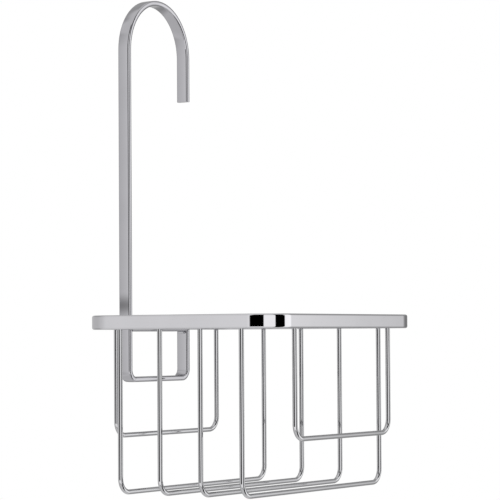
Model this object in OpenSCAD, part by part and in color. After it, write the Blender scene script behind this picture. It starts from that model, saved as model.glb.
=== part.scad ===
/* [Rim] */
// Width of the rim, left to right, over its outer faces
rim_w = 200; // [160:1:260]
// Depth of the rim, wall to front, over its outer faces
rim_d = 160; // [130:1:200]
// Height of the flat bar that the rim is bent from
rim_h = 10; // [8:0.5:16]
// Thickness of the rim's bar
rim_t = 4; // [3:0.5:6]
// Outer radius of the rim's four corners
rim_corner_r = 20; // [10:1:40]
// Rounding along the edges of the rim's bar
rim_edge_r = 1.5; // [0.3:0.1:1.5]

/* [Basket wires] */
// Diameter of every wire in the basket
wire_d = 3.5; // [2:0.5:5]
// Spacing between neighbouring deep wires, front to back
wire_pitch = 33.4; // [20:0.1:40]
// Depth of the basket, from the rim's top edge to the underside of the deep wires
basket_depth = 125; // [60:1:180]
// Radius of each bend, at the middle of the wire
wire_bend_r = 10; // [6:0.5:20]
// How far the wire ends stop below the rim's top edge
wire_end_gap = 1.5; // [0.5:0.5:3]

/* [Guard wires] */
// Distance between the two legs of a guard wire, centre to centre
guard_w = 130; // [60:1:150]
// Depth of the guard wires, from the rim's top edge to their underside
guard_depth = 87; // [40:1:120]

/* [Hanger] */
// Width of the hanger's flat bar, wall to front
strap_w = 10; // [8:0.5:16]
// Thickness of the hanger's bar
strap_t = 4; // [3:0.5:5]
// Rounding along the edges of the hanger's bar
strap_edge_r = 1.2; // [0.3:0.1:1.4]
// Inner radius of the hook
hook_r = 36; // [20:1:50]
// Straight end of the hook, below the middle of its arch
hook_tip = 32; // [0:1:80]
// Height of the middle of the arch above the rim's top edge
hook_rise = 193.5; // [100:0.5:300]
// Depth of the loop, from the rim's top edge to its underside
loop_depth = 48; // [36:1:80]
// Width of the loop, over the outer faces of its two legs
loop_w = 78.4; // [60:0.1:80]
// How far the loop's crossbar lies below the rim's top edge
loop_top_gap = 7.3; // [4:0.1:10]
// How far the end of the hanger's bar stops below the rim's top edge
strap_end_gap = 1; // [0.5:0.5:3]
// Inner radius of the loop's bends
loop_bend_r = 5; // [3:0.5:10]

/* [Welds] */
// Size of the weld fillets on each side of a wire end
wire_weld = 1.2; // [0.8:0.1:1.4]
// Size of the weld fillets on the hanger, at the rim and at the ends of the crossbar
strap_weld = 2; // [1:0.1:3]
// How far a weld stops short of the ends of the joint that it runs along
weld_end_gap = 1.5; // [1:0.1:2.5]

/* [Hidden] */
$fn = 96;

// The origin is the middle of the hook's arch, half way across its bar.
// X runs along the wall, Y points at the wall and Z points up.
rim_top = -hook_rise;
rim_back = -strap_w / 2;
rim_mid_y = rim_back - rim_d / 2;

wire_r = wire_d / 2;
wire_top = rim_top - wire_end_gap;
// A wire's middle lies this far inside the rim's outer face, so that it touches the inner face.
wire_inset = rim_t + wire_r;
deep_leg_x = rim_w / 2 - wire_inset;
deep_run_z = rim_top - basket_depth + wire_r;
// The deep wires, numbered from the front.
deep_y = [for (i = [0:3]) rim_mid_y + (i - 1.5) * wire_pitch];
guard_leg_x = guard_w / 2;
guard_run_z = rim_top - guard_depth + wire_r;
guard_front_y = rim_mid_y - rim_d / 2 + wire_inset;
guard_back_y = rim_mid_y + rim_d / 2 - wire_inset;

strap_r = hook_r + strap_t / 2;
loop_r = loop_bend_r + strap_t / 2;
loop_bottom_z = rim_top - loop_depth + strap_t / 2;
// The loop's short leg. The long leg of the hanger is its other leg.
short_leg_x = loop_w - strap_r - strap_t;
crossbar_z = rim_top - loop_top_gap - strap_t / 2;
// The crossbar fills the gap between the inner faces of the two legs.
crossbar_x0 = strap_t / 2 - strap_r;
crossbar_x1 = short_leg_x - strap_t / 2;

chrome = [0.78, 0.78, 0.80];
weld_tone = [0.66, 0.66, 0.68];

// Outline of a flat bar: a wide, b high, with its corners rounded by r.
module bar_outline(a, b, r) {
    square([a - 2 * r, b], center = true);
    square([a, b - 2 * r], center = true);
    for (sx = [-1, 1], sy = [-1, 1]) {
        translate([sx * (a / 2 - r), sy * (b / 2 - r)]) circle(r = r);
    }
}

// One straight length of the rim's bar, along X and centred.
module rim_straight(length) {
    rotate([90, 0, 90]) linear_extrude(length, center = true) bar_outline(rim_t, rim_h, rim_edge_r);
}

// One quarter turn of the rim's bar, from +X to +Y, about the middle of the corner.
module rim_corner() {
    rotate_extrude(angle = 90) {
        translate([rim_corner_r - rim_t / 2, 0]) bar_outline(rim_t, rim_h, rim_edge_r);
    }
}

// The flat bar that is bent into a rounded rectangle and carries all the wires.
module rim_band() {
    run_x = rim_w - 2 * rim_corner_r;
    run_y = rim_d - 2 * rim_corner_r;
    color(chrome) translate([0, rim_mid_y, rim_top - rim_h / 2]) {
        for (side = [-1, 1]) {
            translate([0, side * (rim_d - rim_t) / 2, 0]) rim_straight(run_x);
            translate([side * (rim_w - rim_t) / 2, 0, 0]) rotate([0, 0, 90]) rim_straight(run_y);
        }
        translate([run_x / 2, run_y / 2, 0]) rim_corner();
        translate([-run_x / 2, run_y / 2, 0]) rotate([0, 0, 90]) rim_corner();
        translate([-run_x / 2, -run_y / 2, 0]) rotate([0, 0, 180]) rim_corner();
        translate([run_x / 2, -run_y / 2, 0]) rotate([0, 0, 270]) rim_corner();
    }
}

// One quarter bend of the wire in the XZ plane, from +X round to -Z, about the middle of the bend.
module wire_bend() {
    rotate([-90, 0, 0]) rotate_extrude(angle = 90) translate([wire_bend_r, 0]) circle(r = wire_r);
}

// A wire bent into a U: legs at -leg_x and leg_x, its bottom run at run_z.
module u_wire(leg_x, run_z) {
    bend_z = run_z + wire_bend_r;
    for (side = [0, 1]) mirror([side, 0, 0]) {
        translate([leg_x, 0, bend_z]) cylinder(r = wire_r, h = wire_top - bend_z);
        translate([leg_x - wire_bend_r, 0, bend_z]) wire_bend();
    }
    translate([0, 0, run_z]) rotate([0, 90, 0]) {
        cylinder(r = wire_r, h = 2 * (leg_x - wire_bend_r), center = true);
    }
}

module basket_wire(i) {
    color(chrome) translate([0, deep_y[i], 0]) u_wire(deep_leg_x, deep_run_z);
}

// The shallow wire across the front.
module front_guard_wire() {
    color(chrome) translate([0, guard_front_y, 0]) u_wire(guard_leg_x, guard_run_z);
}

// The shallow wire across the back.
module back_guard_wire() {
    color(chrome) translate([0, guard_back_y, 0]) u_wire(guard_leg_x, guard_run_z);
}

// An upright length of the hanger's bar at x, from z0 up to z1.
module strap_upright(x, z0, z1) {
    translate([x, 0, z0]) linear_extrude(z1 - z0) bar_outline(strap_t, strap_w, strap_edge_r);
}

// A level length of the hanger's bar at height z, from x0 to x1.
module strap_level(z, x0, x1) {
    translate([x0, 0, z]) rotate([0, 90, 0]) {
        linear_extrude(x1 - x0) bar_outline(strap_t, strap_w, strap_edge_r);
    }
}

// A bend of the hanger's bar in the XZ plane: radius r at its middle, from angle a through turn.
module strap_bend(r, a, turn) {
    rotate([90, -a, 0]) rotate_extrude(angle = turn) {
        translate([r, 0]) bar_outline(strap_t, strap_w, strap_edge_r);
    }
}

// One flat bar: the hook, the long leg, the loop that stands on the wall and its short leg, which
// ends behind the rim.
module hanger_strap() {
    bend_z = loop_bottom_z + loop_r;
    color(chrome) {
        strap_upright(strap_r, -hook_tip, 0);
        strap_bend(strap_r, 0, 180);
        strap_upright(-strap_r, bend_z, 0);
        translate([loop_r - strap_r, 0, bend_z]) strap_bend(loop_r, 180, 90);
        strap_level(loop_bottom_z, loop_r - strap_r, short_leg_x - loop_r);
        translate([short_leg_x - loop_r, 0, bend_z]) strap_bend(loop_r, 270, 90);
        strap_upright(short_leg_x, bend_z, rim_top - strap_end_gap);
    }
}

// The straight length of the same bar that closes the loop, butted between its two legs.
module loop_crossbar() {
    color(chrome) strap_level(crossbar_z, crossbar_x0, crossbar_x1);
}

// The two fillets along one wire end. The wire stands at the origin and the rim's face at y = wire_r.
module wire_weld_pair() {
    length = rim_h - 2 * weld_end_gap;
    // The fillets start beside the line where wire and rim touch, at this share of the wire's radius.
    root_x = 0.35 * wire_r;
    for (side = [0, 1]) mirror([side, 0, 0]) {
        translate([0, 0, rim_top - weld_end_gap - length]) linear_extrude(length) difference() {
            polygon([
                [root_x, wire_r],
                [root_x, wire_r / 2],
                [wire_r, wire_r - wire_weld],
                [wire_r + wire_weld, wire_r]
            ]);
            circle(r = wire_r);
        }
    }
}

// The welds that hold the twelve wire ends to the inside of the rim.
module wire_welds() {
    color(weld_tone) {
        for (y = deep_y, side = [-1, 1]) {
            translate([side * deep_leg_x, y, 0]) rotate([0, 0, -90 * side]) wire_weld_pair();
        }
        for (x = [-guard_leg_x, guard_leg_x]) {
            translate([x, guard_back_y, 0]) wire_weld_pair();
            translate([x, guard_front_y, 0]) rotate([0, 0, 180]) wire_weld_pair();
        }
    }
}

// A fillet along the hanger's bar where the bar's edge stands on the plane y = 0. It fills the gap
// under the bar's rounded corner, on the side of +x, and runs up from the origin.
module edge_fillet(length) {
    linear_extrude(length) difference() {
        polygon([
            [strap_t / 2 - strap_edge_r, 0],
            [strap_t / 2 + strap_weld, 0],
            [strap_t / 2, strap_edge_r + strap_weld]
        ]);
        translate([0, strap_w / 2]) bar_outline(strap_t, strap_w, strap_edge_r);
    }
}

// The fillet in the corner between a leg's inner face and the top of the crossbar. The leg's face
// stands at x = 0, on the side of -x, and the middle of the crossbar at z = 0.
module joint_fillet() {
    length = strap_w - 2 * max(strap_edge_r, weld_end_gap);
    translate([0, length / 2, strap_t / 2]) rotate([90, 0, 0]) linear_extrude(length) {
        polygon([[0, 0], [strap_weld, 0], [0, strap_weld]]);
    }
}

// The welds of the hanger: one up the outer side of each leg and one along the top of the crossbar,
// all three on the back of the rim, and two at each end of the crossbar.
module hanger_welds() {
    top_gap = max(weld_end_gap, strap_end_gap);
    leg_weld = rim_h - weld_end_gap - top_gap;
    run_gap = strap_weld + weld_end_gap;
    run_weld = crossbar_x1 - crossbar_x0 - 2 * run_gap;
    color(weld_tone) {
        translate([0, rim_back, rim_top - top_gap - leg_weld]) {
            translate([-strap_r, 0, 0]) mirror([1, 0, 0]) edge_fillet(leg_weld);
            translate([short_leg_x, 0, 0]) edge_fillet(leg_weld);
        }
        translate([crossbar_x0 + run_gap, rim_back, crossbar_z]) rotate([0, -90, 0]) mirror([0, 0, 1]) {
            edge_fillet(run_weld);
        }
        for (side = [0, 1]) {
            translate([crossbar_x0, 0, crossbar_z]) mirror([0, 0, side]) joint_fillet();
            translate([crossbar_x1, 0, crossbar_z]) mirror([1, 0, 0]) mirror([0, 0, side]) joint_fillet();
        }
    }
}

rim_band();
basket_wire(0);  // basket_wire_1
basket_wire(1);  // basket_wire_2
basket_wire(2);  // basket_wire_3
basket_wire(3);  // basket_wire_4
front_guard_wire();
back_guard_wire();
hanger_strap();
loop_crossbar();
wire_welds();
hanger_welds();
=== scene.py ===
import math

import bmesh
import bpy
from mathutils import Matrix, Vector


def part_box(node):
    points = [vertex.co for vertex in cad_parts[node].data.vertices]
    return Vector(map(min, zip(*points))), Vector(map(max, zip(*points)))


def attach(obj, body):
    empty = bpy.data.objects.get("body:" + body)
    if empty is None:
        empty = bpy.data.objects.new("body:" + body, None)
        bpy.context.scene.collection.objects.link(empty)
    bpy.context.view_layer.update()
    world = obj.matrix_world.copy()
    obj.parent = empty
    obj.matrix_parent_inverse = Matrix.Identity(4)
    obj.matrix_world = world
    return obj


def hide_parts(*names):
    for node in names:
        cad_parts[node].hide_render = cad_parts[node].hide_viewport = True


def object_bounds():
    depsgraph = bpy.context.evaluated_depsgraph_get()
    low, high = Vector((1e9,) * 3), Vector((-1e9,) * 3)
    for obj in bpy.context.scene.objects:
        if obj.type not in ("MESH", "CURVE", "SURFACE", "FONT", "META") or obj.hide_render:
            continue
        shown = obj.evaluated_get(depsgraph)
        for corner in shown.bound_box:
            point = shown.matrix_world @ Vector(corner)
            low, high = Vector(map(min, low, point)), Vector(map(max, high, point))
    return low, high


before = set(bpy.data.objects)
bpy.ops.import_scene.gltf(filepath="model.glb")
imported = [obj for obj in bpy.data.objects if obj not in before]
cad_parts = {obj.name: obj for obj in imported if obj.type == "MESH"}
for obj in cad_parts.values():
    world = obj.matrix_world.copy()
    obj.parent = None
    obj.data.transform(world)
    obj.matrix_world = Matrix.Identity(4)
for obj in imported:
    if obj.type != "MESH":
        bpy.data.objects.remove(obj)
cad_low, cad_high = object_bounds()

# --- Rim ----------------------------------------------------------------------------------------
# One flat steel bar, bent on its flat into a rounded rectangle and butt-welded end to end; the weld
# is ground flush and polished away. Its long edges are rounded by the rolling.
RIM_BAR_T = 0.004
# The bends ease in and out over this length, as a bar bent in a former does.
RIM_CORNER_RUN = 0.022
RIM_CORNER_EASE = 0.53
RIM_EDGE_R = 0.0015
RIM_EDGE_STEPS = 6
RIM_CORNER_STEPS = 40
# Edges that turn by fewer degrees than this are shaded smooth, on every piece.
SOFT_EDGE = 40
# The full height of the plate's ripples, and the tone of its water marks against clean plate.
RIPPLE_HEIGHT = 0.00002
MARKED_TONE = 0.82


# The whole caddy is plated after welding, so every piece has the same bright, slightly blue metal.
# What differs is the ground under the plate: rolled bar, drawn wire or weld metal.
def shared_group(name, inputs, outputs):
    """An empty node group with named number inputs and outputs, and its two end nodes."""
    group = bpy.data.node_groups.new(name, "ShaderNodeTree")
    number = "NodeSocketFloat"
    for label, value in inputs:
        group.interface.new_socket(label, in_out="INPUT", socket_type=number).default_value = value
    for label in outputs:
        group.interface.new_socket(label, in_out="OUTPUT", socket_type=number)
    return group, group.nodes.new("NodeGroupInput"), group.nodes.new("NodeGroupOutput")


def maths(tree, operation, first, second):
    """A maths node on two sockets or numbers."""
    node = tree.nodes.new("ShaderNodeMath")
    node.operation = operation
    for slot, value in enumerate((first, second)):
        if isinstance(value, (int, float)):
            node.inputs[slot].default_value = value
        else:
            tree.links.new(value, node.inputs[slot])
    return node.outputs[0]


def cloud(tree, place, scale, detail):
    """Soft three-dimensional noise around one half."""
    node = tree.nodes.new("ShaderNodeTexNoise")
    tree.links.new(place, node.inputs["Vector"])
    node.inputs["Detail"].default_value = detail
    if isinstance(scale, (int, float)):
        node.inputs["Scale"].default_value = scale
    else:
        tree.links.new(scale, node.inputs["Scale"])
    return node.outputs["Fac"]


# Water haze and wiping marks: they blur the mirror a little, here and there.
haze_group, haze_in, haze_out = shared_group(
    "water_haze", [("Size", 45.0), ("Amount", 0.03)], ["Haze"]
)
haze_place = haze_group.nodes.new("ShaderNodeTexCoord").outputs["Object"]
haze_cloud = cloud(haze_group, haze_place, haze_in.outputs["Size"], 5.0)
haze_spread = maths(haze_group, "MULTIPLY", maths(haze_group, "POWER", haze_cloud, 2.0), 2.0)
haze_amount = maths(haze_group, "MULTIPLY", haze_spread, haze_in.outputs["Amount"])
haze_group.links.new(haze_amount, haze_out.inputs["Haze"])

# The plate's surface: a slow waviness of the metal below and a fine orange peel of the plate.
ripple_group, ripple_in, ripple_out = shared_group(
    "plate_ripple",
    [("Wave Size", 40.0), ("Wave Height", 1.0), ("Peel Size", 420.0), ("Peel Height", 0.05)],
    ["Height"],
)
ripple_place = ripple_group.nodes.new("ShaderNodeTexCoord").outputs["Object"]
slow_wave = cloud(ripple_group, ripple_place, ripple_in.outputs["Wave Size"], 0.0)
orange_peel = cloud(ripple_group, ripple_place, ripple_in.outputs["Peel Size"], 1.0)
ripple_height = maths(
    ripple_group,
    "ADD",
    maths(ripple_group, "MULTIPLY", slow_wave, ripple_in.outputs["Wave Height"]),
    maths(ripple_group, "MULTIPLY", orange_peel, ripple_in.outputs["Peel Height"]),
)
ripple_group.links.new(ripple_height, ripple_out.inputs["Height"])

# Rolling and polishing lines that run along a bar: they change only across it.
lines_group, lines_in, lines_out = shared_group(
    "polishing_lines", [("Across", 0.0), ("Fineness", 2600.0)], ["Lines"]
)
lines_noise = lines_group.nodes.new("ShaderNodeTexNoise")
lines_noise.noise_dimensions = "1D"
lines_noise.inputs["Detail"].default_value = 3.0
lines_group.links.new(lines_in.outputs["Across"], lines_noise.inputs["W"])
lines_group.links.new(lines_in.outputs["Fineness"], lines_noise.inputs["Scale"])
lines_group.links.new(lines_noise.outputs["Fac"], lines_out.inputs["Lines"])


def group_node(tree, group, **values):
    """One of the shared effects, placed in a material with its own values."""
    node = tree.nodes.new("ShaderNodeGroup")
    node.node_tree = group
    for label, value in values.items():
        node.inputs[label.replace("_", " ")].default_value = value
    return node


def chrome(name, tone, clear, haze, wave, peel, across=None, lines=0.0):
    """Chrome plate. tone is its colour, clear the roughness where it is clean, haze what water
    marks add, wave and peel its ripples' heights, and across the axis that the lines run across."""
    material = bpy.data.materials.new(name)
    material.use_nodes = True
    tree = material.node_tree
    metal = tree.nodes["Principled BSDF"]
    metal.inputs["Metallic"].default_value = 1.0
    marks = group_node(tree, haze_group, Amount=haze)
    rough = maths(tree, "ADD", marks.outputs["Haze"], clear)
    plate = group_node(tree, ripple_group, Wave_Height=wave, Peel_Height=peel)
    height = plate.outputs["Height"]
    shade = tree.nodes.new("ShaderNodeMix")
    shade.data_type = "RGBA"
    shade.inputs["A"].default_value = (*tone, 1.0)
    shade.inputs["B"].default_value = (*(MARKED_TONE * part for part in tone), 1.0)
    # The tint follows the marks in full, however faint the haze is.
    tint = maths(tree, "MULTIPLY", marks.outputs["Haze"], 0.5 / haze)
    if across:
        split = tree.nodes.new("ShaderNodeSeparateXYZ")
        spot = tree.nodes.new("ShaderNodeTexCoord")
        tree.links.new(spot.outputs["Object"], split.inputs["Vector"])
        drawn = group_node(tree, lines_group)
        tree.links.new(split.outputs[across], drawn.inputs["Across"])
        height = maths(tree, "ADD", height, maths(tree, "MULTIPLY", drawn.outputs["Lines"], lines))
        tint = maths(tree, "MULTIPLY", maths(tree, "ADD", tint, drawn.outputs["Lines"]), 0.5)
    tree.links.new(tint, shade.inputs["Factor"])
    bump = tree.nodes.new("ShaderNodeBump")
    bump.inputs["Distance"].default_value = RIPPLE_HEIGHT
    bump.inputs["Strength"].default_value = 1.0
    tree.links.new(height, bump.inputs["Height"])
    tree.links.new(shade.outputs["Result"], metal.inputs["Base Color"])
    tree.links.new(rough, metal.inputs["Roughness"])
    tree.links.new(bump.outputs["Normal"], metal.inputs["Normal"])
    return material


def pick(kind, wanted):
    """In edit mode, selects the edges or faces for which wanted() is true, and nothing else."""
    mesh = bpy.context.edit_object.data
    bpy.ops.mesh.select_mode(type=kind)
    bpy.ops.mesh.select_all(action="DESELECT")
    shape = bmesh.from_edit_mesh(mesh)
    for part in shape.edges if kind == "EDGE" else shape.faces:
        if wanted(part):
            part.select_set(True)
    shape.select_flush_mode()
    bmesh.update_edit_mesh(mesh)


def is_upright(edge):
    """Whether an edge runs along Z."""
    along = edge.verts[1].co - edge.verts[0].co
    return abs(along.z) > 0.99 * along.length


def apply_modifier(kind, **values):
    """Adds a modifier to the active piece, sets its values and applies it."""
    bpy.ops.object.modifier_add(type=kind)
    modifier = bpy.context.object.modifiers[-1]
    for label, value in values.items():
        setattr(modifier, label, value)
    bpy.ops.object.modifier_apply(modifier=modifier.name)


def smooth_metal(piece, material):
    """Smooth shading with exact flats, the finish, and the piece's place in the frame."""
    bpy.ops.object.shade_smooth_by_angle(angle=math.radians(SOFT_EDGE))
    apply_modifier("WEIGHTED_NORMAL", mode="FACE_AREA", weight=100, keep_sharp=True)
    piece.data.materials.clear()
    piece.data.materials.append(material)
    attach(piece, "root")


rim_low, rim_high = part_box("rim_band")
bpy.ops.object.select_all(action="DESELECT")
bpy.ops.mesh.primitive_cube_add(size=1, location=(rim_low + rim_high) / 2, scale=rim_high - rim_low)
rim = bpy.context.object
rim.name = "rim"
bpy.ops.object.transform_apply(location=True, rotation=True, scale=True)
bpy.ops.object.mode_set(mode="EDIT")
pick("EDGE", is_upright)
bpy.ops.mesh.bevel(
    offset=RIM_CORNER_RUN, segments=RIM_CORNER_STEPS, profile=RIM_CORNER_EASE, affect="EDGES"
)
pick("FACE", lambda face: abs(face.normal.z) > 0.9)
bpy.ops.mesh.delete(type="FACE")
bpy.ops.object.mode_set(mode="OBJECT")
apply_modifier("SOLIDIFY", thickness=RIM_BAR_T, offset=-1.0, use_even_offset=True)
apply_modifier(
    "BEVEL",
    width=RIM_EDGE_R,
    segments=RIM_EDGE_STEPS,
    limit_method="ANGLE",
    angle_limit=math.radians(60),
)
rim_chrome = chrome(
    "chrome on the rim bar",
    tone=(0.675, 0.67, 0.695),
    clear=0.02,
    haze=0.03,
    wave=0.5,
    peel=0.0,
    across="Z",
    lines=0.01,
)
smooth_metal(rim, rim_chrome)
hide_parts("rim_band")

# --- Basket wires -------------------------------------------------------------------------------
# Round drawn wire, each length bent cold into a U. Four deep ones stand side by side and make the
# basket's walls and floor. Their ends are cut square and stop just below the rim's top edge.
WIRE_BEND_R = 0.010
WIRE_CUT = 0.0003
WIRE_SIDES = 32
BEND_STEPS = 16

wire_low, wire_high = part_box("basket_wire_1")
wire_r = (wire_high.y - wire_low.y) / 2


def take_outline():
    """Opens the active outline in edit mode, all of it selected by its points."""
    bpy.ops.object.mode_set(mode="EDIT")
    bpy.ops.mesh.select_mode(type="VERT")
    bpy.ops.mesh.select_all(action="SELECT")


def pull(step):
    """Draws the selected outline along by one straight step."""
    bpy.ops.mesh.extrude_region_move(TRANSFORM_OT_translate={"value": step})


def bend(centre, degrees, steps):
    """Bends on from the selected outline, in the XZ plane about centre; positive turns +X to +Z."""
    bpy.ops.mesh.spin(steps=steps, angle=math.radians(degrees), center=centre, axis=(0, 1, 0))


def close_ends(cut):
    """Caps a bent length at both ends and takes the sharp edge off each cut."""
    bpy.ops.mesh.select_all(action="SELECT")
    bpy.ops.mesh.fill_holes(sides=0)
    pick("FACE", lambda face: len(face.verts) > 4)
    bpy.ops.mesh.bevel(offset=cut, segments=2, affect="EDGES")
    bpy.ops.mesh.select_all(action="SELECT")
    bpy.ops.mesh.normals_make_consistent(inside=False)


def u_wire(name, node):
    """A wire from the frame's node: down its left leg, across its run and up its right leg."""
    low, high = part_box(node)
    y = (low.y + high.y) / 2
    left, right = low.x + wire_r, high.x - wire_r
    bend_z = low.z + wire_r + WIRE_BEND_R
    bpy.ops.object.select_all(action="DESELECT")
    bpy.ops.mesh.primitive_circle_add(
        vertices=WIRE_SIDES, radius=wire_r, fill_type="NOTHING", location=(left, y, high.z)
    )
    wire = bpy.context.object
    wire.name = name
    bpy.ops.object.transform_apply(location=True, rotation=True, scale=True)
    take_outline()
    pull((0, 0, bend_z - high.z))
    bend((left + WIRE_BEND_R, y, bend_z), 90, BEND_STEPS)
    pull((right - left - 2 * WIRE_BEND_R, 0, 0))
    bend((right - WIRE_BEND_R, y, bend_z), 90, BEND_STEPS)
    pull((0, 0, high.z - bend_z))
    close_ends(WIRE_CUT)
    bpy.ops.object.mode_set(mode="OBJECT")
    return wire


def copy_of(piece, move, turn=0):
    """A copy with its own mesh, turned about Z by turn degrees and then moved."""
    bpy.ops.object.select_all(action="DESELECT")
    piece.select_set(True)
    bpy.context.view_layer.objects.active = piece
    bpy.ops.object.duplicate(linked=False)
    twin = bpy.context.object
    twin.rotation_euler.z = math.radians(turn)
    twin.location = move
    bpy.ops.object.transform_apply(location=True, rotation=True, scale=True)
    return twin


def next_wire(first, step, name, node):
    """A copy of a finished wire, step further along Y, that stands for its own node."""
    wire = copy_of(first, (0, step, 0))
    wire.name = name
    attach(wire, "root")
    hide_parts(node)


wire_chrome = chrome(
    "chrome on drawn wire", tone=(0.58, 0.58, 0.595), clear=0.015, haze=0.02, wave=0.3, peel=0.0
)
first_wire = u_wire("deep_wire_1", "basket_wire_1")
smooth_metal(first_wire, wire_chrome)
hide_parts("basket_wire_1")
for number in (2, 3, 4):
    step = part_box(f"basket_wire_{number}")[0].y - wire_low.y
    next_wire(first_wire, step, f"deep_wire_{number}", f"basket_wire_{number}")

# --- Guard wires --------------------------------------------------------------------------------
# Two shallower U's of the same wire, one across the front and one across the back, that keep
# bottles from sliding out over the deep wires.
front_guard = u_wire("front_guard", "front_guard_wire")
smooth_metal(front_guard, wire_chrome)
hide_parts("front_guard_wire")
guard_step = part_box("back_guard_wire")[0].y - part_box("front_guard_wire")[0].y
next_wire(front_guard, guard_step, "back_guard", "back_guard_wire")

# --- Hanger -------------------------------------------------------------------------------------
# One flat bar, bent the easy way: up from the hook's free end, over the arch, down the long leg,
# across under the rim and up again as a short leg, which ends behind the rim.
STRAP_T = 0.004
# Its faces and edges are crowned by the rolling, and its corners rounded.
STRAP_CROWN = 0.0001
STRAP_CORNER_R = 0.0012
STRAP_CUT = 0.0003
LOOP_BEND_R = 0.007
SHORT_LEG_DROP = 0.001
HOOK_TIP = 0.032
ARCH_STEPS = 72
# How finely the arcs of the bar's outline are drawn, and how close two points are one.
FACE_STEPS = 12
EDGE_STEPS = 8
CORNER_STEPS = 12
SAME_POINT = 0.00001

strap_low, strap_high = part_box("hanger_strap")
cross_low, cross_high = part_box("loop_crossbar")
strap_w = strap_high.y - strap_low.y
arch_r = strap_high.x - STRAP_T / 2
short_leg_x = cross_high.x + STRAP_T / 2
loop_low_z = strap_low.z + STRAP_T / 2


def bar_outline(name, x, z):
    """The cut end of the hanger's bar, level, with its middle at x and z, left open in edit mode.
    It is drawn with eight arcs: the two faces, the two edges and the four corners between them."""
    corner_x = STRAP_T / 2 - STRAP_CORNER_R - STRAP_CROWN
    corner_y = strap_w / 2 - STRAP_CORNER_R - STRAP_CROWN
    depth = STRAP_CORNER_R + STRAP_CROWN
    face_r = (corner_y**2 + depth**2 - STRAP_CORNER_R**2) / (2 * STRAP_CROWN)
    edge_r = (corner_x**2 + depth**2 - STRAP_CORNER_R**2) / (2 * STRAP_CROWN)
    face_turn = math.atan2(corner_y, face_r - depth)
    edge_turn = math.atan2(corner_x, edge_r - depth)
    corner_turn = math.pi / 2 - face_turn - edge_turn
    face_x = x + STRAP_T / 2 - face_r * (1 - math.cos(face_turn))
    face_end = (face_x, -face_r * math.sin(face_turn), z)
    bpy.ops.object.select_all(action="DESELECT")
    bpy.ops.mesh.primitive_plane_add(size=STRAP_T, location=face_end)
    bar = bpy.context.object
    bar.name = name
    bpy.ops.object.transform_apply(location=True, rotation=True, scale=True)
    take_outline()
    bpy.ops.mesh.merge(type="CENTER")
    for side in (1, -1):
        for shift_x, shift_y, turn, steps in (
            (STRAP_T / 2 - face_r, 0, 2 * face_turn, FACE_STEPS),
            (corner_x, corner_y, corner_turn, CORNER_STEPS),
            (0, strap_w / 2 - edge_r, 2 * edge_turn, EDGE_STEPS),
            (-corner_x, corner_y, corner_turn, CORNER_STEPS),
        ):
            centre = (x + side * shift_x, side * shift_y, z)
            bpy.ops.mesh.spin(steps=steps, angle=-turn, center=centre, axis=(0, 0, 1))
    bpy.ops.mesh.select_all(action="SELECT")
    bpy.ops.mesh.remove_doubles(threshold=SAME_POINT)
    return bar


strap = bar_outline("hanger", arch_r, -HOOK_TIP)
pull((0, 0, HOOK_TIP))
bend((0, 0, 0), 180, ARCH_STEPS)
pull((0, 0, loop_low_z + LOOP_BEND_R))
bend((LOOP_BEND_R - arch_r, 0, loop_low_z + LOOP_BEND_R), 90, BEND_STEPS)
pull((short_leg_x + arch_r - 2 * LOOP_BEND_R, 0, 0))
bend((short_leg_x - LOOP_BEND_R, 0, loop_low_z + LOOP_BEND_R), 90, BEND_STEPS)
pull((0, 0, rim_high.z - SHORT_LEG_DROP - loop_low_z - LOOP_BEND_R))
close_ends(STRAP_CUT)
bpy.ops.object.mode_set(mode="OBJECT")
strap_chrome = chrome(
    "chrome on the hanger bar",
    tone=(0.50, 0.495, 0.52),
    clear=0.02,
    haze=0.02,
    wave=0.3,
    peel=0.0,
    across="Y",
    lines=0.01,
)
# A dull, darker patch lies on the bar's flat sides, a little above the rim.
PATCH_RISE = 0.0078
PATCH_REACH = 0.0102
PATCH_SHADE = 0.46
bar_tree = strap_chrome.node_tree
base_colour = bar_tree.nodes["Principled BSDF"].inputs["Base Color"]
bar_place = bar_tree.nodes.new("ShaderNodeSeparateXYZ")
bar_spot = bar_tree.nodes.new("ShaderNodeTexCoord")
bar_tree.links.new(bar_spot.outputs["Object"], bar_place.inputs["Vector"])


def fade_out(axis, middle, full, none):
    """1 within full of the middle along an axis, 0 beyond none, and a soft step between."""
    off = maths(bar_tree, "SUBTRACT", bar_place.outputs[axis], middle)
    node = bar_tree.nodes.new("ShaderNodeMapRange")
    node.interpolation_type = "SMOOTHSTEP"
    for label, value in (("From Min", full), ("From Max", none), ("To Min", 1.0), ("To Max", 0.0)):
        node.inputs[label].default_value = value
    bar_tree.links.new(maths(bar_tree, "ABSOLUTE", off, 0.0), node.inputs["Value"])
    return node.outputs["Result"]


patch_height = fade_out("Z", rim_high.z + PATCH_RISE, 0.0, PATCH_REACH)
flat_side = fade_out("Y", 0.0, strap_w / 2 - STRAP_CORNER_R, strap_w / 2 - STRAP_CORNER_R / 2)
patched = bar_tree.nodes.new("ShaderNodeMix")
patched.data_type = "RGBA"
patched.blend_type = "MULTIPLY"
patched.inputs["B"].default_value = (PATCH_SHADE, PATCH_SHADE, PATCH_SHADE, 1.0)
bar_tree.links.new(maths(bar_tree, "MULTIPLY", patch_height, flat_side), patched.inputs["Factor"])
bar_tree.links.new(base_colour.links[0].from_socket, patched.inputs["A"])
bar_tree.links.new(patched.outputs["Result"], base_colour)
smooth_metal(strap, strap_chrome)
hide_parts("hanger_strap")

# --- Crossbar -----------------------------------------------------------------------------------
# A straight length of the same bar, sawn square, that closes the loop. It lies behind the rim's
# lower edge, butted between the long and the short leg.


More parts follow.
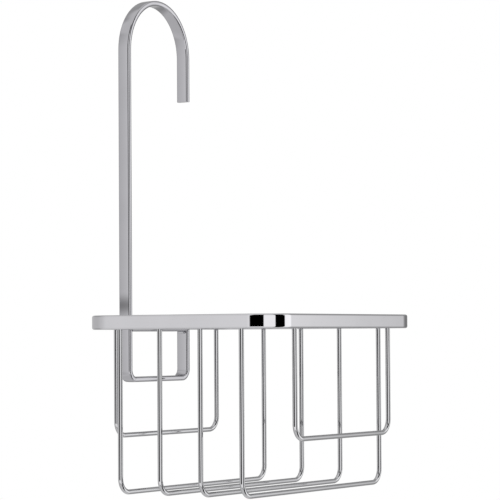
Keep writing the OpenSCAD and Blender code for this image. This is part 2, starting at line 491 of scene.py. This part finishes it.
def lay_along(piece, axis, move):
    """Turns a standing piece over so that it runs along X or Y, and moves it into place."""
    bpy.ops.object.select_all(action="DESELECT")
    piece.select_set(True)
    bpy.context.view_layer.objects.active = piece
    piece.rotation_euler = (0, math.radians(90), 0) if axis == "X" else (math.radians(-90), 0, 0)
    piece.location = move
    bpy.ops.object.transform_apply(location=True, rotation=True, scale=True)
    return piece


cross_z = (cross_low.z + cross_high.z) / 2
crossbar = bar_outline("crossbar", 0, 0)
pull((0, 0, cross_high.x - cross_low.x))
close_ends(STRAP_CUT)
bpy.ops.object.mode_set(mode="OBJECT")
lay_along(crossbar, "X", (cross_low.x, 0, cross_z))
smooth_metal(crossbar, strap_chrome)
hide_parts("loop_crossbar")

# --- Welds on the wire ends ---------------------------------------------------------------------
# A short bead runs up each side of each wire end, in the groove between the wire and the inside of
# the rim. The beads are left as welded, and the plate only rounds their ripples.
BEAD_RIPPLES = 8
BEAD_SIDES = 14
# A bead is this share of its full width at its tips, and full after this share of its length.
BEAD_TIP = 0.45
BEAD_RUN_IN = 0.2
WIRE_BEAD = (0.00095, 0.00065)
# How deep the middle of a wire's bead lies below the rim's face.
BEAD_DEPTH = 0.0005


def bead(name, foot, size, length, spread):
    """A weld bead that stands on foot and runs up by length. size is its half widths along X and Y,
    and spread how much each ripple swells over the neck between two ripples."""
    bpy.ops.object.select_all(action="DESELECT")
    bpy.ops.mesh.primitive_circle_add(
        vertices=BEAD_SIDES, radius=1, fill_type="NOTHING", location=foot
    )
    weld = bpy.context.object
    weld.name = name
    weld.scale = (size[0] * BEAD_TIP, size[1] * BEAD_TIP, 1)
    bpy.ops.object.transform_apply(location=True, rotation=True, scale=True)
    take_outline()
    steps = 2 * BEAD_RIPPLES
    width = BEAD_TIP
    for step in range(1, steps + 1):
        share = step / steps
        taper = BEAD_TIP + (1 - BEAD_TIP) * min(1.0, min(share, 1 - share) / BEAD_RUN_IN)
        wanted = taper * (1.0 if step % 2 else 1.0 - spread)
        pull((0, 0, length / steps))
        middle = Vector(foot) + Vector((0, 0, length * share))
        bpy.ops.transform.resize(value=(wanted / width, wanted / width, 1), center_override=middle)
        width = wanted
    bpy.ops.mesh.select_all(action="SELECT")
    bpy.ops.mesh.fill_holes(sides=0)
    bpy.ops.mesh.normals_make_consistent(inside=False)
    bpy.ops.object.mode_set(mode="OBJECT")
    apply_modifier("SUBSURF", levels=1, render_levels=1)
    return weld


def join_all(pieces, name):
    """Joins pieces into one, and names it."""
    bpy.ops.object.select_all(action="DESELECT")
    for piece in pieces:
        piece.select_set(True)
    bpy.context.view_layer.objects.active = pieces[0]
    bpy.ops.object.join()
    joined = bpy.context.object
    joined.name = name
    return joined


wire_weld_low, wire_weld_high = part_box("wire_welds")
weld_length = wire_weld_high.z - wire_weld_low.z
# The first wire end stands at the origin with the rim's face on its +Y side.
bead_feet = [(side * wire_r, wire_r - BEAD_DEPTH, wire_weld_low.z) for side in (-1, 1)]
pair = join_all(
    [bead("bead", foot, WIRE_BEAD, weld_length, spread=0.16) for foot in bead_feet], "bead_pair"
)
beads = []
for number in (1, 2, 3, 4):
    low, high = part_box(f"basket_wire_{number}")
    for x, turn in ((low.x + wire_r, 90), (high.x - wire_r, -90)):
        beads.append(copy_of(pair, (x, (low.y + high.y) / 2, 0), turn))
for node, turn in (("front_guard_wire", 180), ("back_guard_wire", 0)):
    low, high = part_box(node)
    for x in (low.x + wire_r, high.x - wire_r):
        beads.append(copy_of(pair, (x, (low.y + high.y) / 2, 0), turn))
bpy.data.objects.remove(pair)
wire_beads = join_all(beads, "wire_end_beads")
weld_chrome = chrome(
    "chrome on weld beads", tone=(0.60, 0.60, 0.62), clear=0.06, haze=0.08, wave=2.0, peel=0.15
)
smooth_metal(wire_beads, weld_chrome)
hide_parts("wire_welds")

# --- Welds of the hanger ------------------------------------------------------------------------
# Larger beads of the same kind hold the bar to the back of the rim: one up the outer side of each
# leg and one along the crossbar. Two more close each end of the crossbar.
EDGE_BEAD = (0.0016, 0.0012)
CORNER_BEAD = (0.0011, 0.0011)
# How far the crossbar's long bead stops short of the legs, and those at its ends of its edges.
RUN_GAP = 0.0035
JOINT_GAP = 0.0015
# How far the middles of the beads lie off the rim's back, off the bar's faces and out of a corner.
OFF_RIM = 0.0009
OFF_BAR = 0.0002
OFF_CORNER = 0.0006

bead_y = rim_high.y + OFF_RIM
leg_bead = bead("leg_bead", (0, 0, wire_weld_low.z), EDGE_BEAD, weld_length, spread=0.12)
leg_side = STRAP_T / 2 + OFF_BAR
leg_sides = (-arch_r - leg_side, short_leg_x + leg_side)
hanger_beads = [copy_of(leg_bead, (x, bead_y, 0)) for x in leg_sides]
bpy.data.objects.remove(leg_bead)

run_length = cross_high.x - cross_low.x - 2 * RUN_GAP
run_bead = bead("run_bead", (0, 0, 0), EDGE_BEAD, run_length, spread=0.12)
run_start = (cross_low.x + RUN_GAP, bead_y, cross_high.z + OFF_BAR)
hanger_beads.append(lay_along(run_bead, "X", run_start))

joint_length = strap_w - 2 * JOINT_GAP
joint_bead = bead("joint_bead", (0, 0, 0), CORNER_BEAD, joint_length, spread=0.12)
lay_along(joint_bead, "Y", (0, -joint_length / 2, 0))
for x in (cross_low.x + OFF_CORNER, cross_high.x - OFF_CORNER):
    for z in (cross_low.z - OFF_CORNER, cross_high.z + OFF_CORNER):
        hanger_beads.append(copy_of(joint_bead, (x, 0, z)))
bpy.data.objects.remove(joint_bead)
hanger_bead = join_all(hanger_beads, "hanger_beads")
smooth_metal(hanger_bead, weld_chrome)
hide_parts("hanger_welds")

# --- Studio -------------------------------------------------------------------------------------
# A plain pale floor well below the hanging caddy, soft light all round and one soft lamp above. Two
# tall dark screens stand beside the camera, so that the chrome has edges to show.
FLOOR_SIZE = 5.0
FLOOR_DROP = 0.30
FLOOR_GLOW = 0.3
LAMP_HEIGHT = 0.9
LAMP_WIDTH = 1.2
LAMP_POWER = 8.0

floor_place = (0, cad_low.y / 2, cad_low.z - FLOOR_DROP)
bpy.ops.mesh.primitive_plane_add(size=FLOOR_SIZE, location=floor_place)
floor = bpy.context.object
floor.name = "studio_floor"
# The chrome mirrors the studio light below it, not the floor's far edges.
floor.visible_glossy = False
floor_paint = bpy.data.materials.new("pale floor")
floor_paint.use_nodes = True
paint = floor_paint.node_tree.nodes["Principled BSDF"]
paint.inputs["Base Color"].default_value = (0.9, 0.9, 0.9, 1)
paint.inputs["Roughness"].default_value = 0.9
# The floor glows a little, which keeps it pale out to its edges.
paint.inputs["Emission Color"].default_value = (1, 1, 1, 1)
paint.inputs["Emission Strength"].default_value = FLOOR_GLOW
floor.data.materials.append(floor_paint)

# Brightness of the studio by compass turn, from +X through +Y, in degrees.
EYE_LEVEL = [
    (0, 0.25),
    (18, 0.28),
    (34, 0.55),
    (60, 0.64),
    (110, 0.66),
    (132, 0.78),
    (140, 0.86),
    (146, 0.93),
    (157, 1.10),
    (207, 1.28),
    (254, 1.26),
    (298, 1.4),
    (324, 1.45),
    (328.3, 1.05),
    (331.5, 0.80),
    (340, 0.35),
    (350, 0.25),
    (360, 0.25),
]
# How that changes above and below eye level: the panels stand tall, and the rest evens out.
RAISED = [
    (0, 1.6),
    (18, 1.5),
    (34, 0.75),
    (100, 0.75),
    (145, 0.97),
    (300, 1.0),
    (330, 0.75),
    (345, 1.5),
    (360, 1.6),
]
# Higher still, only the wall over the caddy's left side is bright.
OVERHEAD = [(0, 0.5), (100, 0.55), (114, 0.9), (160, 0.9), (172, 0.5), (360, 0.5)]
# Degrees off eye level between which each of them, the ceiling and the ground take over.
TO_RAISED = (10, 24)
TO_OVERHEAD = (31, 38)
TO_CEILING = (50, 58)
TO_GROUND = (36, 50)
CEILING_LIGHT = 0.9
GROUND_LIGHT = 0.8
# How soft the screens' upright and level edges are, in degrees.
SCREEN_SIDE = 0.4
SCREEN_END = 2
studio = bpy.data.worlds.new("studio")
bpy.context.scene.world = studio
studio.use_nodes = True
tree = studio.node_tree
split = tree.nodes.new("ShaderNodeSeparateXYZ")
tree.links.new(tree.nodes.new("ShaderNodeTexCoord").outputs["Generated"], split.inputs["Vector"])
around = maths(tree, "ARCTAN2", split.outputs["Y"], split.outputs["X"])
turns = maths(tree, "DIVIDE", around, 2 * math.pi)
turn = maths(tree, "FRACT", maths(tree, "ADD", turns, 1.0), 0.0)
rise = maths(tree, "ARCSINE", split.outputs["Z"], 0.0)
fall = maths(tree, "MULTIPLY", rise, -1.0)
height = maths(tree, "ABSOLUTE", rise, 0.0)


def by_turn(stops):
    """A colour ramp over the compass turn."""
    ramp = tree.nodes.new("ShaderNodeValToRGB")
    tree.links.new(turn, ramp.inputs["Fac"])
    marks = ramp.color_ramp.elements
    while len(marks) < len(stops):
        marks.new(0.5)
    for mark, (degrees, light) in zip(marks, stops):
        mark.position = degrees / 360
        mark.color = (light, light, light, 1)
    return ramp.outputs["Color"]


def between(value, low, high):
    """0 below low degrees, 1 above high degrees, and a soft step between."""
    node = tree.nodes.new("ShaderNodeMapRange")
    node.interpolation_type = "SMOOTHSTEP"
    node.inputs["From Min"].default_value = math.radians(low)
    node.inputs["From Max"].default_value = math.radians(high)
    tree.links.new(value, node.inputs["Value"])
    return node.outputs["Result"]


def layer(factor, below, light):
    """Covers below with a plain light or with another socket, as far as factor says."""
    node = tree.nodes.new("ShaderNodeMix")
    node.data_type = "RGBA"
    if isinstance(light, float):
        node.inputs["B"].default_value = (light, light, light, 1)
    else:
        tree.links.new(light, node.inputs["B"])
    tree.links.new(factor, node.inputs["Factor"])
    tree.links.new(below, node.inputs["A"])
    return node.outputs["Result"]


def screen(below, left, right, foot, top):
    """A black screen from left to right by compass turn, from foot degrees below eye level to top
    degrees above it."""
    left_edge = [(left - SCREEN_SIDE, 0), (left + SCREEN_SIDE, 1)]
    right_edge = [(right - SCREEN_SIDE, 1), (right + SCREEN_SIDE, 0)]
    sides = by_turn(left_edge + right_edge)
    above = between(rise, top, top + SCREEN_END)
    ends = maths(tree, "MAXIMUM", above, between(fall, foot, foot + SCREEN_END))
    return layer(maths(tree, "MULTIPLY", sides, maths(tree, "SUBTRACT", 1.0, ends)), below, 0.0)


dimmed = tree.nodes.new("ShaderNodeMix")
dimmed.data_type = "RGBA"
dimmed.blend_type = "MULTIPLY"
tree.links.new(between(height, *TO_RAISED), dimmed.inputs["Factor"])
tree.links.new(by_turn(EYE_LEVEL), dimmed.inputs["A"])
tree.links.new(by_turn(RAISED), dimmed.inputs["B"])
walls = layer(between(height, *TO_OVERHEAD), dimmed.outputs["Result"], by_turn(OVERHEAD))
walls = layer(between(rise, *TO_CEILING), walls, CEILING_LIGHT)
walls = layer(between(fall, *TO_GROUND), walls, GROUND_LIGHT)
walls = screen(walls, left=156.0, right=206.8, foot=14, top=56)
walls = screen(walls, left=254.5, right=297.0, foot=56, top=56)
tree.links.new(walls, tree.nodes["Background"].inputs["Color"])
backdrop = tree.nodes.new("ShaderNodeBackground")
backdrop.inputs["Color"].default_value = (1, 1, 1, 1)
seen = tree.nodes.new("ShaderNodeMixShader")
tree.links.new(tree.nodes.new("ShaderNodeLightPath").outputs["Is Camera Ray"], seen.inputs["Fac"])
tree.links.new(tree.nodes["Background"].outputs["Background"], seen.inputs[1])
tree.links.new(backdrop.outputs["Background"], seen.inputs[2])
tree.links.new(seen.outputs["Shader"], tree.nodes["World Output"].inputs["Surface"])

bpy.ops.object.light_add(type="AREA", location=(0, cad_low.y, cad_high.z + LAMP_HEIGHT))
lamp = bpy.context.object
lamp.name = "soft_lamp"
lamp.data.shape = "DISK"
lamp.data.size = LAMP_WIDTH
lamp.data.energy = LAMP_POWER
lamp.visible_glossy = False
bpy.context.scene.view_settings.view_transform = "Standard"

# The camera stands low and to the left, a long way off, and looks a little up past the basket.
CAMERA_PLACE = (-1.4213, -0.9826, -0.2086)
CAMERA_TURN = (92.11, 0.368, -57.65)
CAMERA_LENS = 168.26
camera_turn = [math.radians(angle) for angle in CAMERA_TURN]
bpy.ops.object.camera_add(location=CAMERA_PLACE, rotation=camera_turn)
camera = bpy.context.object
camera.data.sensor_width = 36.0
camera.data.lens = CAMERA_LENS
camera.data.clip_start = 0.05
bpy.context.scene.camera = camera
